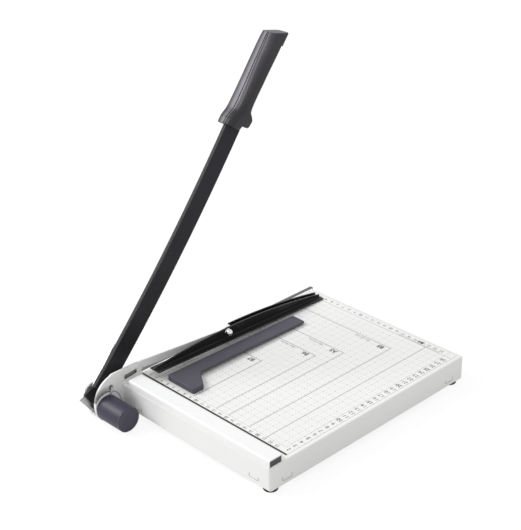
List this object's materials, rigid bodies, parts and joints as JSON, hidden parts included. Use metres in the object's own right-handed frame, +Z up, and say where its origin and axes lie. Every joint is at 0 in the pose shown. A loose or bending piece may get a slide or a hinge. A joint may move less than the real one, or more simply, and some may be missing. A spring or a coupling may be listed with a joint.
{
  "type": "paper cutter",
  "caption": "Desk paper cutter: flat white bed with a fence, a sprung swinging arm with a knife, a paper clamp and a loose corner guide.",
  "frame": {"origin": "on the table plane under the feet, below the middle of the whole cutter's bounding box", "axes": "+Z up; +X from the bed's left side towards the cutting edge; +Y from the handle end towards the fence and pivot"},
  "size_m": [0.2728, 0.3763, 0.3961],
  "materials": {
    "white_paint": "semi-gloss white powder coat",
    "black_paint": "satin black coat",
    "zinc": "zinc plated, dull",
    "ground_steel": "ground steel",
    "black_steel": "blackened blade steel",
    "spring_steel": "oiled spring wire",
    "chrome": "polished",
    "magnet": "nickel plated",
    "black_rubber": "matt",
    "dark_plastic": "matt",
    "grey_plastic": "satin dark grey with a violet cast",
    "handle_plastic": "satin dark grey"
  },
  "bodies": {
    "base": {"base_tray": "white_paint", "foot_plates": "zinc", "rubber_feet": "black_rubber", "foot_screws": "zinc", "fence_rail": "white_paint", "fence_plugs": "dark_plastic", "fence_screws": "zinc", "fixed_blade": "ground_steel", "fixed_blade_screws": "zinc", "fixed_blade_nuts": "zinc", "pivot_bracket": "white_paint", "bracket_screws": "zinc", "bracket_nuts": "zinc", "arm_spacer": "zinc", "pivot_washer": "zinc", "spring_cap": "grey_plastic", "return_spring": "spring_steel"},
    "arm": {"pivot_shaft": "zinc", "pivot_nut": "zinc", "cutting_arm": "black_paint", "moving_blade": "black_steel", "blade_screws": "zinc", "pivot_plate": "zinc", "arm_rivets": "zinc", "handle_inner": "handle_plastic", "handle_outer": "handle_plastic", "handle_screws": "zinc"},
    "press": {"press_lever": "white_paint", "clamp_screw": "chrome", "clamp_nut": "zinc"},
    "clamp": {"clamp_bar": "black_paint"},
    "guide": {"corner_guide": "grey_plastic", "guide_magnets": "magnet"}
  },
  "joints": [
    {"name": "arm_hinge", "type": "hinge", "parent": "base", "child": "arm", "pos_m": [0.11905, 0.16285, 0.016], "axis": [1, 0, 0], "range_deg": [0, 46.8], "stiffness_Nm_per_rad": 1.3, "springref_deg": -71.62},
    {"name": "press_hinge", "type": "hinge", "parent": "base", "child": "press", "pos_m": [0.1123, 0.16285, 0.016], "axis": [1, 0, 0], "range_deg": [0, 1.9]},
    {"name": "clamp_rock", "type": "hinge", "parent": "press", "child": "clamp", "pos_m": [0.08955, -0.01215, 0.0515], "axis": [1, 0, 0], "range_deg": [-3.84, 0]},
    {"name": "guide_slide", "type": "slide", "parent": "base", "child": "guide", "axis": [1, 0, 0], "range_m": [-0.155, 0.004]}
  ],
  "couplings": [
    {"joint": "press_hinge", "follows": "arm_hinge", "ratio": 0.040442},
    {"joint": "clamp_rock", "follows": "arm_hinge", "ratio": -0.081895}
  ]
}
